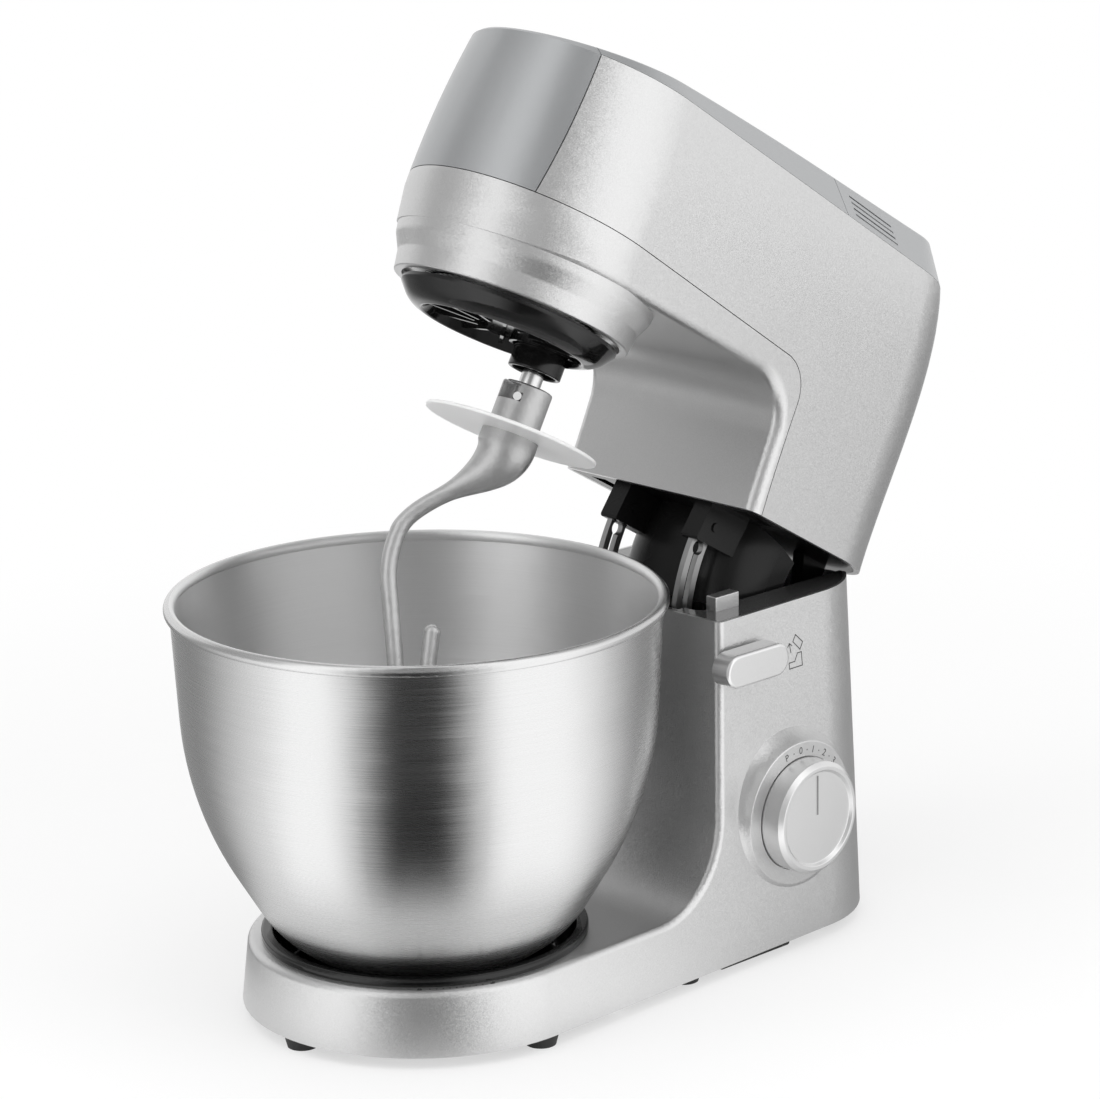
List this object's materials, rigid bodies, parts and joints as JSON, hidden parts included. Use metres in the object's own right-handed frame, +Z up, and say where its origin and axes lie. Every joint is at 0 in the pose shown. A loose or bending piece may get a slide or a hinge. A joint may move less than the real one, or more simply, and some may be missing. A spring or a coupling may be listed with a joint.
{
  "type": "stand mixer",
  "caption": "Tilt-head stand mixer with a steel bowl on a bayonet seat, planetary dough hook, side speed dial and release lever, shown with the head raised.",
  "frame": {"origin": "on the floor under the feet, at the middle of the footprint box with the head raised", "axes": "+Z up, -Y towards the bowl and the front of the head, +X towards the speed dial"},
  "size_m": [0.23, 0.4382, 0.4468],
  "materials": {
    "silver_lacquer": "metallic silver lacquer, satin",
    "grey_gloss": "dark grey metallic gloss",
    "deck_gloss": "dark silver gloss",
    "black_gloss": "gloss black",
    "black_plastic": "moulded black",
    "bowl_steel": "brushed round the axis",
    "steel": "bright",
    "cast_alloy": "satin casting",
    "white_plastic": "milky",
    "gear_nylon": "moulded",
    "bronze": "sintered",
    "iron": "laminated",
    "rubber": "matte",
    "board": "lacquered"
  },
  "bodies": {
    "stand": {"stand_housing": "silver_lacquer", "bottom_plate": "black_plastic", "plate_screws": "steel", "rubber_feet": "rubber", "cord_gland": "black_plastic", "column_deck": "deck_gloss", "deck_blocks": "silver_lacquer", "bowl_seat": "black_gloss", "speed_switch": "black_plastic", "control_board": "board", "release_spring": "steel", "hinge_pin": "steel"},
    "bowl": {"mixing_bowl": "bowl_steel", "bowl_foot": "steel"},
    "dial": {"speed_knob": "silver_lacquer", "knob_pointer": "black_plastic", "knob_spindle": "steel"},
    "release": {"release_lever": "silver_lacquer", "release_pin": "steel"},
    "carrier": {"planet_carrier": "cast_alloy", "planet_cover": "black_gloss", "drive_wheel": "gear_nylon", "planet_bush": "bronze"},
    "tool": {"planet_gear": "iron", "tool_shaft": "steel", "drive_pin": "steel", "bell_collar": "steel", "splash_disc": "white_plastic", "dough_hook": "cast_alloy"},
    "layshaft": {"layshaft": "steel", "large_pulley": "gear_nylon"},
    "rotor": {"motor_rotor": "iron", "motor_fan": "black_plastic", "motor_pulley": "steel"},
    "head": {"head_upper_shell": "silver_lacquer", "head_lower_shell": "silver_lacquer", "front_cap": "grey_gloss", "top_cover": "grey_gloss", "rear_cover": "grey_gloss", "neck_cover": "black_gloss", "hinge_bushes": "bronze", "tilt_arm_left": "steel", "tilt_arm_right": "steel", "arm_rivets": "steel", "gear_case": "cast_alloy", "hub_bearings": "steel", "ring_gear": "iron", "layshaft_bushes": "bronze", "drive_belt": "rubber", "drive_chassis": "cast_alloy", "chassis_screws": "steel", "motor_can": "steel", "motor_bearings": "bronze"}
  },
  "joints": [
    {"name": "head_tilt", "type": "hinge", "parent": "stand", "child": "head", "pos_m": [0, 0.129, 0.148], "axis": [1, 0, 0], "range_deg": [0, 30]},
    {"name": "bowl_twist", "type": "hinge", "parent": "stand", "child": "bowl", "pos_m": [0, -0.105, 0.0115], "axis": [0, 0, 1], "range_deg": [0, 35]},
    {"name": "speed_dial", "type": "hinge", "parent": "stand", "child": "dial", "pos_m": [0.07973, 0.066, 0.068], "axis": [-1, 0, 0], "range_deg": [-20, 120]},
    {"name": "release_turn", "type": "hinge", "parent": "stand", "child": "release", "pos_m": [0.06852, 0.038, 0.147], "axis": [1, 0, 0], "range_deg": [0, 25], "stiffness_Nm_per_rad": 0.4},
    {"name": "rotor_spin", "type": "hinge", "parent": "head", "child": "rotor", "pos_m": [0, 0.15716, 0.28878], "axis": [0, 0.5, 0.866], "continuous": true},
    {"name": "layshaft_spin", "type": "hinge", "parent": "head", "child": "layshaft", "pos_m": [0, 0.04761, 0.35203], "axis": [0, 0.5, 0.866], "continuous": true},
    {"name": "carrier_spin", "type": "hinge", "parent": "head", "child": "carrier", "pos_m": [0, -0.02315, 0.35247], "axis": [0, 0.5, 0.866], "continuous": true},
    {"name": "tool_spin", "type": "hinge", "parent": "carrier", "child": "tool", "pos_m": [0, -0.01762, 0.30655], "axis": [0, 0.5, 0.866], "continuous": true}
  ],
  "couplings": [
    {"joint": "layshaft_spin", "follows": "rotor_spin", "ratio": 0.21739},
    {"joint": "carrier_spin", "follows": "rotor_spin", "ratio": -0.052701},
    {"joint": "tool_spin", "follows": "rotor_spin", "ratio": 0.15533}
  ]
}
